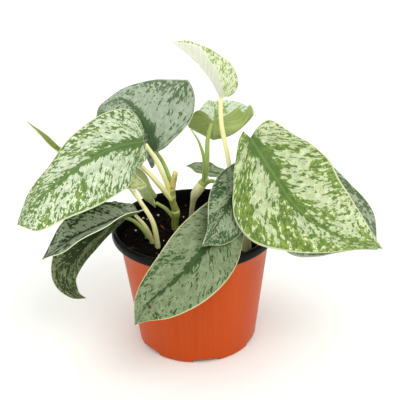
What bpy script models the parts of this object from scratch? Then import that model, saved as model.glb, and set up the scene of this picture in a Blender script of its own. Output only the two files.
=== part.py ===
"""Potted exotica satin pothos: heart-shaped leaves on short vines in a round nursery pot.

Sizes are millimetres and are turned to metres as each mesh is made. The origin is the
centre of the pot's foot on the ground, +Z is up and -Y is the front.
"""
import math

import bmesh
import bpy
import numpy as np
from mathutils import Vector

MM = 0.001
GAP = 0.3                      # clearance between neighbouring solids

# Pot: thin vacuum-formed plastic, dark inside, with a rolled rim and a notched foot
RIM_RADIUS = 54.0
RIM_HEIGHT = 83.0
RIM_DEPTH = 6.0
SHOULDER_RADIUS = 50.8         # wall just under the rim
NECK_RADIUS = 48.2             # wall below the flared shoulder
NECK_HEIGHT = 68.0
FOOT_RADIUS = 39.8
FOOT_ROUND = 2.0
WALL = 1.2
FLOOR_UNDERSIDE = 2.8
FOOT_RING_WIDTH = 3.0
DRAFT = 0.8                    # slope of the foot ring and of the pad, across their height
ROLL = 0.5                     # rounding of the rim's edges
PAD_RADIUS = 9.0               # flat pad in the middle of the underside, level with the foot
POT_SIDES = 48
NOTCHES = 6
NOTCH_WIDTH = 17.0
NOTCH_HEIGHT = 2.7
NOTCH_TURN = -82.5             # degrees, where the first notch is
NOTCH_DEPTH = 12.0
DRAIN_RADIUS = 4.0
DRAIN_CIRCLE = 26.0
DRILL_SIDES = 10

# Soil: peat with a slightly uneven top
SOIL_LEVEL = 73.0
SOIL_RELIEF = 1.0
SOIL_RINGS = 9
SOIL_SIDES = 40
ROOT_BOTTOM = 62.0             # stems stand in plain holes down to here
ROOT_CLEARANCE = 0.5           # a hole's radius over its stem's
SHARP = 35.0                   # degrees, edges above this stay crisp

# Leaves
BLADE = 0.8                    # thickness
ROWS = 15                      # rows of side veins along a big leaf
COLUMNS = 4                    # columns across each half
STATIONS = (0.2, 0.4, 0.6, 0.8)
FAN = 0.30                     # share of the rows that start at the stalk's end
LEAN = 1.12                    # how far the other rows start behind where they end
BOW = 0.05                     # how the rows curve forward
TINY = 0.001                   # degrees, keeps a flat half from a division by zero


def clear_scene():
    for obj in list(bpy.data.objects):
        bpy.data.objects.remove(obj, do_unlink=True)


def material(name, colour, roughness=0.5):
    mat = bpy.data.materials.new(name)
    mat.use_nodes = True
    shader = mat.node_tree.nodes["Principled BSDF"]
    linear = [((c / 255 + 0.055) / 1.055) ** 2.4 for c in bytes.fromhex(colour)]
    shader.inputs["Base Color"].default_value = (*linear, 1.0)
    shader.inputs["Roughness"].default_value = roughness
    shader.inputs["Metallic"].default_value = 0.0
    return mat


def add_object(name, bm, mat):
    """Turns a bmesh in millimetres into an object in metres."""
    bmesh.ops.scale(bm, vec=(MM, MM, MM), verts=bm.verts)
    mesh = bpy.data.meshes.new(name)
    bm.to_mesh(mesh)
    bm.free()
    mesh.shade_smooth()
    mesh.set_sharp_from_angle(angle=math.radians(SHARP))
    obj = bpy.data.objects.new(name, mesh)
    bpy.context.collection.objects.link(obj)
    if mat:
        mesh.materials.append(mat)
    return obj


def combine(target, tools, operation):
    """Cuts the tools out of the target, or joins them to it, and removes them."""
    for tool in tools:
        step = target.modifiers.new(tool.name, "BOOLEAN")
        step.operation = operation
        step.solver = "EXACT"
        step.object = tool
    bpy.context.view_layer.update()
    result = target.evaluated_get(bpy.context.evaluated_depsgraph_get())
    mesh = bpy.data.meshes.new_from_object(result)
    target.modifiers.clear()
    target.data = mesh
    for tool in tools:
        bpy.data.objects.remove(tool, do_unlink=True)
    mesh.shade_smooth()
    mesh.set_sharp_from_angle(angle=math.radians(SHARP))
    return target


def turned(profile, sides):
    """Closed solid of revolution. The profile starts and ends on the axis or closes on itself."""
    bm = bmesh.new()
    verts = [bm.verts.new((r, 0, z)) for r, z in profile]
    edges = [bm.edges.new(pair) for pair in zip(verts, verts[1:])]
    bmesh.ops.spin(bm, geom=verts + edges, cent=(0, 0, 0), axis=(0, 0, 1), steps=sides,
                   angle=math.tau, use_merge=True)
    bmesh.ops.remove_doubles(bm, verts=bm.verts, dist=1e-3)
    bmesh.ops.recalc_face_normals(bm, faces=bm.faces)
    return bm


def smooth_curve(points, shares):
    """Reads a smooth curve through the points at shares 0 to 1 of its length."""
    p = np.asarray(points, float)
    q = np.vstack([2 * p[0] - p[1], p, 2 * p[-1] - p[-2]])
    s = np.linspace(0, 1, 25)[:-1, None]
    pieces = [0.5 * (2 * b + (c - a) * s + (2 * a - 5 * b + 4 * c - d) * s ** 2
                     + (3 * b - a - 3 * c + d) * s ** 3)
              for a, b, c, d in zip(q[:-3], q[1:-2], q[2:-1], q[3:])]
    fine = np.vstack(pieces + [p[-1:]])
    run = np.concatenate([[0], np.cumsum(np.linalg.norm(np.diff(fine, axis=0), axis=1))])
    read = np.asarray(shares) * run[-1]
    return np.stack([np.interp(read, run, column) for column in fine.T], -1), run[-1]


def unit(v):
    return v / np.linalg.norm(v, axis=-1, keepdims=True)


def interpolate(x, along, values):
    return np.stack([np.interp(x, along, column) for column in values.T], -1)


def tube(route, radii, sides=6, rings=9):
    """Closed round stalk along a smooth route. The radii are spread evenly over its length."""
    shares = np.linspace(0, 1, rings)
    points, _ = smooth_curve(route, shares)
    thick = np.interp(shares, np.linspace(0, 1, len(radii)), radii)
    heading = unit(np.gradient(points, axis=0))
    bm = bmesh.new()
    reference = Vector((1, 0, 0))
    loops = []
    for centre, direction, radius in zip(points, heading, thick):
        d = Vector(direction)
        reference = (reference - d * reference.dot(d)).normalized()
        other = d.cross(reference)
        loop = []
        for k in range(sides):
            turn = math.tau * k / sides
            offset = reference * math.cos(turn) + other * math.sin(turn)
            loop.append(bm.verts.new(Vector(centre) + offset * radius))
        loops.append(loop)
    for low, high in zip(loops, loops[1:]):
        for k in range(sides):
            n = (k + 1) % sides
            bm.faces.new((low[k], low[n], high[n], high[k]))
    bm.faces.new(loops[0][::-1])
    bm.faces.new(loops[-1])
    return bm


def half_outline(length, half, lobe, tip):
    """One half of a flat leaf, from the notch at the stalk round the lobe to the tip."""
    points = [(-0.75 * lobe, 0.28 * half[0]), (-lobe, 0.62 * half[0]), (-0.55 * lobe, 0.9 * half[0])]
    points += [(share * length, width) for share, width in zip(STATIONS, half[1:])]
    points += [(0.93 * length, tip * half[-1]), (length, 0)]
    return points


def blade_grid(spine, face, right, left, lobe, roll, twist, fold, curl, rows, columns, ease=0,
               tip=0.32):
    """Points of the blade's middle surface: a row for each side vein, right margin to left."""
    along_shares = np.linspace(0, 1, 61)
    centre, length = smooth_curve(spine, along_shares)
    along = along_shares * length
    tangent = unit(np.gradient(centre, axis=0))
    face = np.asarray(face, float)
    normal = unit(face - tangent * (tangent @ face)[:, None])
    side = np.cross(normal, tangent)
    turn = np.radians(roll + twist * along_shares)[:, None]
    normal, side = (normal * np.cos(turn) - side * np.sin(turn),
                    side * np.cos(turn) + normal * np.sin(turn))
    share = np.linspace(0, 1, rows + 1)
    start = length * np.clip((share - FAN) / (1 - FAN), 0, 1) ** LEAN
    grid = np.zeros((rows + 1, 2 * columns + 1, 3))
    for which, (sign, half) in enumerate(((-1, right), (1, left))):
        edge, _ = smooth_curve(half_outline(length, half, lobe[which], tip), share ** 0.95)
        tilt = math.radians(fold[which]) * (1 - ease * share)
        bend = math.radians(curl[which] + TINY) / max(half) * (1 - ease * share)
        for j in range(columns + 1):
            v = j / columns
            x = start + (edge[:, 0] - start) * v + BOW * edge[:, 1] * v * (1 - v)
            y = edge[:, 1] * v
            out = (np.sin(tilt + bend * y) - np.sin(tilt)) / bend
            lift = (np.cos(tilt) - np.cos(tilt + bend * y)) / bend
            on = np.clip(x, 0, length)
            t, n, b = (unit(interpolate(on, along, a)) for a in (tangent, normal, side))
            grid[:, columns + sign * j] = (interpolate(on, along, centre) + t * (x - on)[:, None]
                                           + b * (sign * out)[:, None] + n * lift[:, None])
    return grid


def leaf_solid(grid):
    """Closed blade of even thickness. Both faces are split into triangles alike."""
    rows, width = grid.shape[0], grid.shape[1]
    middle = width // 2
    fan = int(FAN * (rows - 1))
    points, index = [], {}
    for i in range(rows):
        for j in range(width):
            if i == rows - 1:
                key = "tip"
            elif j == middle and i <= fan:
                key = "stalk"
            else:
                key = (i, j)
            if key not in index:
                index[key] = len(points)
                points.append(grid[i, j])
            index[i, j] = index[key]
    triangles = []
    for i in range(rows - 1):
        for j in range(width - 1):
            a, b = index[i, j], index[i, j + 1]
            c, d = index[i + 1, j + 1], index[i + 1, j]
            pair = ((a, b, c), (a, c, d)) if j >= middle else ((a, b, d), (b, c, d))
            triangles += [t for t in pair if len(set(t)) == 3]
    points = np.array(points)
    normals = np.zeros_like(points)
    for a, b, c in triangles:
        normals[[a, b, c]] += np.cross(points[b] - points[a], points[c] - points[a])
    normals = unit(normals) * BLADE / 2
    bm = bmesh.new()
    top = [bm.verts.new(p) for p in points + normals]
    under = [bm.verts.new(p) for p in points - normals]
    borders = {}
    for a, b, c in triangles:
        bm.faces.new((top[a], top[b], top[c]))
        bm.faces.new((under[c], under[b], under[a]))
        for pair in ((a, b), (b, c), (c, a)):
            if pair[::-1] in borders:
                del borders[pair[::-1]]
            else:
                borders[pair] = True
    for a, b in borders:
        bm.faces.new((top[b], top[a], under[a]))
        bm.faces.new((top[b], under[a], under[b]))
    bmesh.ops.recalc_face_normals(bm, faces=bm.faces)
    return bm


def wall_slope():
    """How far the pot's plain wall widens for each millimetre of height."""
    return (NECK_RADIUS - FOOT_RADIUS) / (NECK_HEIGHT - FOOT_ROUND)


def make_pot(mat):
    """Outside wall from the foot to the rolled rim, then down the inside and over the floor."""
    top = RIM_HEIGHT
    lip = RIM_HEIGHT - RIM_DEPTH
    floor = FLOOR_UNDERSIDE + WALL
    ring_out = FOOT_RADIUS - FOOT_ROUND * 0.7
    ring_in = ring_out - FOOT_RING_WIDTH
    rim_in = RIM_RADIUS - 2 * WALL
    underside = [(0, 0), (PAD_RADIUS, 0), (PAD_RADIUS + DRAFT, FLOOR_UNDERSIDE),
                 (ring_in, FLOOR_UNDERSIDE), (ring_in + DRAFT, 0), (ring_out, 0)]
    outside = [(FOOT_RADIUS - 0.2 * FOOT_ROUND, 0.4 * FOOT_ROUND), (FOOT_RADIUS, FOOT_ROUND),
               (NECK_RADIUS, NECK_HEIGHT), (NECK_RADIUS + WALL, NECK_HEIGHT + 4),
               (SHOULDER_RADIUS, lip - ROLL)]
    rim = [(RIM_RADIUS - 2 * ROLL, lip - ROLL / 2), (RIM_RADIUS - ROLL, lip),
           (RIM_RADIUS, top - 3 * ROLL), (RIM_RADIUS - ROLL, top - ROLL),
           (RIM_RADIUS - 3 * ROLL, top), (rim_in, top - ROLL),
           (SHOULDER_RADIUS - WALL + 2 * ROLL, top - RIM_DEPTH / 2)]
    inside = [(SHOULDER_RADIUS - WALL, lip - 2 * ROLL), (NECK_RADIUS - WALL, NECK_HEIGHT),
              (FOOT_RADIUS - WALL + wall_slope() * (floor - FOOT_ROUND), floor), (0, floor)]
    pot = add_object("pot", turned(underside + outside + rim + inside, POT_SIDES), mat)
    cutters = bmesh.new()
    for k in range(NOTCHES):
        turn = math.radians(NOTCH_TURN + 360 / NOTCHES * k)
        hole = math.radians(NOTCH_TURN + 360 / NOTCHES * (k + 0.5))
        box = bmesh.ops.create_cube(cutters, size=1)["verts"]
        bmesh.ops.scale(cutters, vec=(NOTCH_DEPTH, NOTCH_WIDTH, 2 * NOTCH_HEIGHT), verts=box)
        place(cutters, box, turn, FOOT_RADIUS, 0)
        place(cutters, drill(cutters, DRAIN_RADIUS, 4 * FLOOR_UNDERSIDE), hole, DRAIN_CIRCLE,
              FLOOR_UNDERSIDE)
    return combine(pot, [add_object("pot_cutters", cutters, None)], "DIFFERENCE")


def drill(bm, radius, depth):
    """Upright round cutter, centred on the origin."""
    return bmesh.ops.create_cone(bm, cap_ends=True, segments=DRILL_SIDES, radius1=radius,
                                 radius2=radius, depth=depth)["verts"]


def place(bm, verts, turn, radius, height):
    """Moves a shape out from the axis and turns it to face the axis."""
    bmesh.ops.translate(bm, vec=(radius, 0, height), verts=verts)
    rotation = Vector((math.cos(turn), math.sin(turn), 0)).to_track_quat("X", "Z").to_matrix()
    bmesh.ops.rotate(bm, cent=(0, 0, 0), matrix=rotation, verts=verts)


def relief(x, y):
    """Small humps of the soil's top, fading at the pot's wall."""
    edge = 1 - (math.hypot(x, y) / NECK_RADIUS) ** 6
    humps = math.sin(x * 0.21 + 1.0) * math.cos(y * 0.17) + 0.6 * math.sin(x * 0.09 - y * 0.33)
    return SOIL_RELIEF * humps * edge


def make_soil(mat, stands):
    """Peat that fills the pot. Each stem and stalk stands in a plain hole."""
    shoulder_slope = (SHOULDER_RADIUS - NECK_RADIUS) / (RIM_HEIGHT - RIM_DEPTH - NECK_HEIGHT)
    bottom = FLOOR_UNDERSIDE + WALL + GAP
    inside = NECK_RADIUS - WALL - GAP
    low = inside - wall_slope() * (NECK_HEIGHT - bottom)
    high = inside + shoulder_slope * (SOIL_LEVEL - NECK_HEIGHT) - GAP
    profile = [(0, bottom), (low - GAP, bottom), (inside, NECK_HEIGHT), (high, SOIL_LEVEL)]
    profile += [(high * (1 - (k + 1) / SOIL_RINGS), SOIL_LEVEL) for k in range(SOIL_RINGS)]
    bm = turned(profile, SOIL_SIDES)
    for v in bm.verts:
        if v.co.z > SOIL_LEVEL - GAP:
            v.co.z += relief(v.co.x, v.co.y)
    bmesh.ops.triangulate(bm, faces=bm.faces)
    soil = add_object("soil", bm, mat)
    cutters = bmesh.new()
    depth = 2 * (RIM_HEIGHT - ROOT_BOTTOM)
    for x, y, radius in stands:
        hole = drill(cutters, radius + ROOT_CLEARANCE, depth)
        bmesh.ops.translate(cutters, vec=(x, y, ROOT_BOTTOM - GAP + depth / 2), verts=hole)
    return combine(soil, [add_object("soil_cutters", cutters, None)], "DIFFERENCE")


def make_stem(name, mat, main, branches):
    """One vine stem with the leaf stalks that grow from it, joined in one body."""
    body = add_object(name, tube(*main), mat)
    tools = [add_object("%s_stalk_%d" % (name, k), tube(*branch), mat)
             for k, branch in enumerate(branches)]
    return combine(body, tools, "UNION") if tools else body


# Each stem: its own route and radii, then the stalks that leave it, route and radii
STEM_LEFT = ([(-13, 11, 62), (-13, 11, 69), (-13, 11, 76), (-12, 9, 87), (-14, 7, 99), (-11, 4, 117)],
             [2.4, 2.4, 2.3, 2.5, 2.2, 1.9, 1.8], 8, 13)
STALKS_LEFT = [
    ([(-13.5, 7, 97), (-18, 5, 113), (-23, 5, 126), (-28.5, 2.9, 136.9)], [1.9, 1.6, 1.5, 1.3]),
    ([(-14, 6.5, 97), (-21, 4, 108), (-28, 5, 117), (-33.9, 9.2, 121)], [2.0, 1.8, 1.6, 1.3]),
    ([(-13, 8, 96), (-15, 14, 108), (-19, 18.5, 118), (-23, 15.6, 127)], [1.8, 1.5, 1.4, 1.2]),
    ([(-12.5, 10, 80), (-18, 8, 89), (-23.9, 4.6, 95.4)], [1.6, 1.3, 1.1])]
STEM_MIDDLE = ([(-2, 24, 62), (-2, 24, 69), (-2, 23.5, 76), (0, 18, 91), (3, 15, 99), (9, 12, 109)],
               [2.0, 1.9, 1.9, 2.0, 3.4, 3.4, 2.0], 8, 13)
STALKS_MIDDLE = [
    ([(7, 13, 104), (9.5, 13, 118), (10.5, 17, 134), (13.1, 21.3, 143.1)], [1.9, 1.6, 1.5, 1.3]),
    ([(7, 12.5, 104), (8, 8, 122), (5, 4, 137), (0, 0, 148)], [1.7, 1.5, 0.9, 0.35]),
    ([(5, 14.5, 102), (12, 15, 105.5), (18.5, 18, 102), (22.8, 25.9, 101.3)], [1.7, 1.3, 1.2, 1.0])]
STEM_RIGHT = ([(33, -20, 62), (33, -20, 69), (33, -20, 76), (32, -18, 84), (33, -15, 92)],
              [3.2, 3.2, 3.2, 3.0, 2.2], 8, 9)
STALKS_RIGHT = [
    ([(32, -17, 86), (37, -2, 104), (41.5, 4, 122), (40.5, -4, 136), (37.7, -14.3, 146.2)],
     [2.0, 1.8, 1.7, 1.5, 1.4]),
    ([(32, -16, 85), (41, 6, 102), (50, 11, 120), (47.7, 2.9, 137.5)], [1.9, 1.7, 1.6, 1.3]),
    ([(32, -17, 82), (28, -8, 98), (31, 0, 111), (36.4, -2.8, 120.4)], [1.8, 1.6, 1.5, 1.2]),
    ([(32, -19, 79), (32, -20, 86), (27.6, -21.5, 95)], [1.9, 1.7, 1.4]),
    ([(31.5, -17, 80), (26, -6, 101), (23, 4, 126), (19.5, 9, 146), (19, 10, 163.1)],
     [1.9, 1.7, 1.6, 1.5, 1.3])]
SINGLE_STALKS = {
    "stalk_front": ([(-24, -13, 62), (-24, -13, 69), (-24, -13.5, 76), (-26, -14, 91),
                     (-33, -13, 105), (-38, -10, 111.5)], [1.9, 1.8, 1.6, 1.4, 1.2], 6, 12),
    "stalk_left": ([(-28, -8, 62), (-28, -8, 69), (-28, -8.5, 76), (-31, -12, 87),
                    (-36.6, -15.7, 97.3)], [1.6, 1.5, 1.4, 1.2, 1.0], 6, 10),
    "stalk_left_back": ([(-31, -2, 62), (-31, -2, 69), (-32, -2, 77), (-39, -1.5, 86),
                         (-47.7, -4.4, 91.1)], [1.5, 1.4, 1.3, 1.2, 1.0], 6, 10)}

# Each leaf: midrib from the stalk to the tip, the way its upper side faces, half widths at
# the stalk and at each fifth of its length on the right and on the left, how far its lobes
# reach back, its roll at the stalk and twist to the tip, and for each half how steeply it
# leaves the midrib and how much it turns on the way to its margin (degrees, + is upwards).
# The ease is the share of fold and curl that fades out on the way to the tip. The tip's share
# is how wide the blade still is just before its point: 0.32 is pointed and 0.7 is blunt.
LEAVES = {
    "leaf_front_left": dict(
        spine=[(-30, 2, 140), (-45, -10, 142), (-62, -22, 138.5), (-80, -35, 130), (-95, -44, 119),
               (-104, -47, 109)],
        face=(0, -0.9, 0.6), right=(32, 31, 28, 23, 19), left=(12, 24, 27, 26, 20),
        lobe=(8, 1), roll=-10, twist=40, fold=(-30, -5), curl=(-10, -10), tip=0.75),
    "leaf_back_left": dict(
        spine=[(-24, 14, 128), (-28, 20, 142), (-34, 28, 150), (-41, 38, 155), (-50, 47, 153),
               (-60, 54, 146), (-66, 56, 134)],
        face=(0.3, -0.6, 0.8), right=(9, 35.5, 36, 16.5, 4), left=(16, 28, 31, 20, 9),
        lobe=(1, 11), roll=-69, twist=99, fold=(-5, -15), curl=(-7, -20)),
    "leaf_top_young": dict(
        spine=[(19, 10, 165), (13.5, 4, 178), (4.5, -2, 192), (-9, -8, 206)],
        face=(0.75, -0.3, 0.6), right=(18, 18.5, 15.5, 12, 8), left=(3, 6, 9, 10, 10),
        lobe=(7, 2), roll=-3, twist=32, fold=(40, 50), curl=(0, 0)),
    "leaf_back_cupped": dict(
        spine=[(14, 22, 145), (14, 26, 132), (15, 37, 127.5), (16.5, 51, 134), (16, 63, 143),
               (15.5, 70, 142)],
        face=(0, 0, 1), right=(24, 36, 34, 31, 20), left=(15, 19, 18, 16, 10),
        lobe=(3, 4), roll=0, twist=0, fold=(5, 36), curl=(110, 10), ease=0.8),
    "leaf_right_large": dict(
        spine=[(36, -16, 147), (46, -27, 133), (62, -37, 110), (84, -43, 94), (114, -45, 84)],
        face=(0, -0.9, 0.43), right=(6, 26, 35, 21, 7), left=(22.5, 34, 38, 32, 21.5),
        lobe=(8, 5), roll=-13, twist=15, fold=(-4, -8), curl=(-15, -15)),
    "leaf_right_behind": dict(
        spine=[(47, 2, 138), (65.5, -13, 128), (87, -22, 111), (104, -28, 93), (114.5, -30, 75)],
        face=(0, -0.9, 0.5), right=(7, 20, 38, 46, 31), left=(7, 11, 13, 13, 11),
        lobe=(2, 4), roll=-3, twist=-9, fold=(-5, -5), curl=(-10, -10)),
    "leaf_middle": dict(
        spine=[(36, -4, 122), (29, -16, 117), (19, -37, 108), (5, -61, 98)],
        face=(0.1, -1, 0.6), right=(8, 13, 14, 11, 4), left=(6, 10, 15, 18, 12),
        lobe=(5, 2), roll=-2, twist=-2, fold=(0, -22), curl=(-10, -10)),
    "leaf_front_draped": dict(
        spine=[(25, -23, 98), (6, -55, 93), (-7, -67, 84), (-28, -72, 67), (-37, -70, 51)],
        face=(0, -1, 0.5), right=(18, 20, 20, 18, 11), left=(10, 18, 22, 20, 14),
        lobe=(7, 3), roll=0, twist=11, fold=(-5, 3), curl=(-10, -10)),
    "leaf_left_folded": dict(
        spine=[(-37, -16, 98), (-53, -24, 97), (-73, -32, 92), (-94, -38, 80)],
        face=(0, -0.6, 1), right=(9, 15, 17, 14, 7), left=(12, 21, 25, 22, 13),
        lobe=(4, 5), roll=34, twist=-26, fold=(30, 30), curl=(0, 0)),
    "leaf_left_hanging": dict(
        spine=[(-49, -6, 92), (-64, -14, 82), (-77, -20, 70), (-83, -22, 57), (-80, -20, 44),
               (-73, -14, 36)],
        face=(-0.3, -1, 0.3), right=(10, 15, 16, 13, 7), left=(5, 6, 7, 7, 5),
        lobe=(8, 6), roll=0, twist=0, fold=(0, 0), curl=(-10, -10)),
    "leaf_back_small": dict(
        spine=[(22, 27, 104), (8, 27, 108), (-4, 25, 113)],
        face=(0, -0.2, 1), right=(5, 8, 10, 9, 5), left=(4, 5, 5, 5, 4),
        lobe=(3, 3), roll=0, twist=-4, fold=(0, 0), curl=(0, 0)),
    "leaf_left_inner": dict(
        spine=[(-26, 5, 99), (-36, 16, 107), (-51, 28, 112), (-68, 38, 114)],
        face=(0.3, 0.8, 0.5), right=(10, 15, 16, 13, 7), left=(12, 16, 15, 12, 7),
        lobe=(3, 3), roll=0, twist=0, fold=(0, 0), curl=(0, 0)),
    "leaf_left_rolled": dict(
        spine=[(-35, 9, 122.5), (-52, 6, 124.5), (-69, 6, 127), (-83, 7, 131.5), (-103, 10, 153)],
        face=(0, -0.3, 1), right=(6, 10, 7, 3.2, 2.8), left=(6, 10, 7, 3.2, 2.8),
        lobe=(3, 3), roll=0, twist=0, fold=(36, 36), curl=(30, 30)),
    "leaf_left_curled": dict(
        spine=[(-39.5, -10, 113), (-50.5, -8, 118), (-62.5, -8, 121), (-74.5, -12, 121)],
        face=(0, -0.3, 1), right=(9, 12, 12, 9, 5), left=(8, 9, 9, 7, 4),
        lobe=(9, 5), roll=0, twist=0, fold=(35, 40), curl=(30, 20))}
SMALL_LEAVES = {"leaf_back_small": (9, 3), "leaf_left_rolled": (12, 3), "leaf_left_curled": (12, 3),
                "leaf_top_young": (12, 3)}


def build():
    clear_scene()
    orange = material("terracotta_plastic", "d1481f", 0.4)
    peat = material("peat", "2a201a", 0.95)
    green_stem = material("stem_green", "b4c45c", 0.5)
    green_leaf = material("leaf_silver_green", "9db58c", 0.45)
    pale_leaf = material("leaf_pale", "dfe8b0", 0.45)
    make_pot(orange)
    stands = [(*stem[0][0][:2], stem[1][0]) for stem in
              (STEM_LEFT, STEM_MIDDLE, STEM_RIGHT, *SINGLE_STALKS.values())]
    make_soil(peat, stands)
    make_stem("stem_left", green_stem, STEM_LEFT, STALKS_LEFT)
    make_stem("stem_middle", green_stem, STEM_MIDDLE, STALKS_MIDDLE)
    make_stem("stem_right", green_stem, STEM_RIGHT, STALKS_RIGHT)
    for name, stalk in SINGLE_STALKS.items():
        make_stem(name, green_stem, stalk, [])
    for name, sizes in LEAVES.items():
        rows, columns = SMALL_LEAVES.get(name, (ROWS, COLUMNS))
        mat = pale_leaf if name in ("leaf_top_young", "leaf_left_rolled") else green_leaf
        add_object(name, leaf_solid(blade_grid(rows=rows, columns=columns, **sizes)), mat)


build()
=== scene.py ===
"""Looks of a potted satin pothos: silver-marked leaves on short vines in a nursery pot.

Lengths are millimetres and are turned to metres as each piece is made. The leaves, stems,
soil and pot repeat the named values of the solids that they replace, with finer meshes.
"""
import math

import bmesh
import bpy
import numpy as np
from mathutils import Matrix, Vector, noise


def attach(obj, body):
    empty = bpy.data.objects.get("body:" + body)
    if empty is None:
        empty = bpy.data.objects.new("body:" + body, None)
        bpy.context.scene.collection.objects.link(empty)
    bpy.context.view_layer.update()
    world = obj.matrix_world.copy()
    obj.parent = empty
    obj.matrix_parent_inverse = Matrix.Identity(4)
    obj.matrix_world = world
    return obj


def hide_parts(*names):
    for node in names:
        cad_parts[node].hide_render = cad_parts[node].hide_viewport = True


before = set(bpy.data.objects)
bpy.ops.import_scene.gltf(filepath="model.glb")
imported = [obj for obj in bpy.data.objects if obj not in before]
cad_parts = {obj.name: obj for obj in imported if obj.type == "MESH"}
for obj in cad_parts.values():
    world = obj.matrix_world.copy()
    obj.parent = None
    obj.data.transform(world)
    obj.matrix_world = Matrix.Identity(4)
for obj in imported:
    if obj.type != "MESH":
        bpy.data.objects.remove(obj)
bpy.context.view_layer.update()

MM = 0.001

# Camera, measured from the pot's rim and foot in the photograph; angles are in degrees
AIM = Vector((4.34, 0.0, 99.0))
DISTANCE = 550.0
ELEVATION = 25.4
TILT = 1.78
FOCAL_PIXELS = 852.0
IMAGE_PIXELS = 400.0
SENSOR = 36.0

# Studio: each light's strength, its width in degrees and the direction that it comes from
LIGHTS = {"soft_key": (1.0, 35, (0.45, -0.62, 1.0)),
          "weak_fill": (0.3, 60, (-0.9, -0.3, 0.8))}
LIGHT_COLOUR = (1.0, 0.998, 0.975)
SURROUND_STRENGTH = 0.98
FLOOR_REACH = 15.0  # metres, from the middle to each side

# Pot
RIM_RADIUS = 54.0
RIM_HEIGHT = 83.0
RIM_DEPTH = 6.0
LIP = RIM_HEIGHT - RIM_DEPTH  # underside of the rolled rim
SHOULDER_RADIUS = 50.8
NECK_RADIUS = 48.2
NECK_HEIGHT = 68.0
FOOT_RADIUS = 39.8
FOOT_CURVE = 2.0  # height of the rounding at the foot
SLOPE = (NECK_RADIUS - FOOT_RADIUS) / (NECK_HEIGHT - FOOT_CURVE)
WALL = 1.2
WALL_RINGS = 24
FLOOR_UNDERSIDE = 2.8
FLOOR_RIBS = (14, 14.6, 16, 16.6)
FLOOR_RIB_DEPTH = 0.5
PAD_RADIUS = 9.0
NOTCHES = 6
NOTCH_WIDTH = 17.0
NOTCH_HEIGHT = 2.7
NOTCH_CORNER = 1.2
NOTCH_TURN = -82.5  # degrees, of the notch nearest to the camera
DRAIN_RADIUS = 4.0
DRAIN_CIRCLE = 26.0
CUTTER_LENGTH = 12.0
POT_STEPS = 144
SHARP_ANGLE = 38.0  # degrees, past which an edge of the pot stays sharp

# Soil
SOIL_LEVEL = 73.0
SOIL_STEPS = 200
SOIL_RINGS = 66
UNDER_SOIL = 0.3  # clearance from the pot's floor
BESIDE_SOIL = 0.25  # clearance from the pot's wall
LITTER_RADIUS = 47.0  # loose bits lie inside this circle

# Stalks
STALK_SIDES = 14
STALK_RINGS = 48
STEM_RINGS = 90  # of a stem whose finish changes along it
JOIN = 0.5  # how far a stalk's end runs on to meet its blade

# Leaves
BLADE = 0.45  # thickness of a real blade
ROWS = 84
COLUMNS = 22  # in each half
COARSE_ROWS = 15  # rows of the plain solid, which the fine outline follows
EDGE_PACE = 0.95  # power that spreads the outline's points a little at the stalk
STATIONS = (0.2, 0.4, 0.6, 0.8)
RIBS = 15  # side veins in each half of a large leaf
FAN = 0.30  # share of the side veins that start at the stalk's end
LEAN = 1.12  # power that crowds the other veins' starts at the stalk
BOW = 0.05  # how much a side vein bows towards the tip
TINY = 0.001  # degrees, so that no half is quite flat
LEAST_BEND = 1e-7  # the bend's formula divides by it
GROOVE_DEPTH = 0.45
GROOVE_WIDTH = 1.5
QUILT = 0.14  # rise between two side veins
WAVE = 0.5  # rise of the margin's waves
WAVES = 3.3  # along each margin
FLAT_UNIT = 100.0  # millimetres to one unit of a leaf's flat map


def srgb(code):
    """Linear colour from the sRGB hex value that a picture shows."""
    shares = [int(code[k:k + 2], 16) / 255 for k in (0, 2, 4)]
    return (*[c / 12.92 if c <= 0.04045 else ((c + 0.055) / 1.055) ** 2.4 for c in shares], 1.0)


# Materials


def node(tree, kind, inputs=None, out=0, **settings):
    """Adds a node with its settings, links or sets its inputs and gives one output. Inputs go by
    name or place: a Mix of colours has its share at 0 and its two colours at 6 and 7."""
    made = tree.nodes.new("ShaderNode" + kind)
    for key, value in settings.items():
        setattr(made, key, value)
    for key, value in (inputs or {}).items():
        if isinstance(value, bpy.types.NodeSocket):
            tree.links.new(value, made.inputs[key])
        else:
            made.inputs[key].default_value = value
    return made.outputs[out]


def surface(name, **values):
    """A material with its own shader, and constants set on the shader's inputs."""
    mat = bpy.data.materials.new(name)
    mat.use_nodes = True
    shader = mat.node_tree.nodes["Principled BSDF"]
    for key, value in values.items():
        shader.inputs[key.replace("_", " ")].default_value = value
    return mat, mat.node_tree, shader


def add_colour_and_relief(tree, shader, colour, height, strength, depth):
    """Gives a shader its colour, and the relief of a height whose depth is in millimetres."""
    tree.links.new(colour, shader.inputs["Base Color"])
    bump = node(tree, "Bump", {"Strength": strength, "Distance": depth * MM, "Height": height})
    tree.links.new(bump, shader.inputs["Normal"])


def let_light_through(tree, shader, colour, share):
    """A thin leaf glows a little where light falls on its other side."""
    glow = node(tree, "BsdfTranslucent", {"Color": colour})
    mixed = node(tree, "MixShader", {0: share, 1: shader.outputs[0], 2: glow})
    tree.links.new(mixed, tree.nodes["Material Output"].inputs["Surface"])


def leaf_maps(tree):
    """A leaf's two maps and what they tell. Across runs from -1 to 1 between its margins, reach is
    across without its sign, and along is 0 to 1 from the first side vein to the tip."""
    veins = node(tree, "UVMap", uv_map="veins")
    flat = node(tree, "UVMap", uv_map="flat")
    across = node(tree, "SeparateXYZ", {0: veins})
    reach = node(tree, "Math", {0: across}, operation="ABSOLUTE")
    return veins, flat, across, across.node.outputs[1], reach


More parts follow.
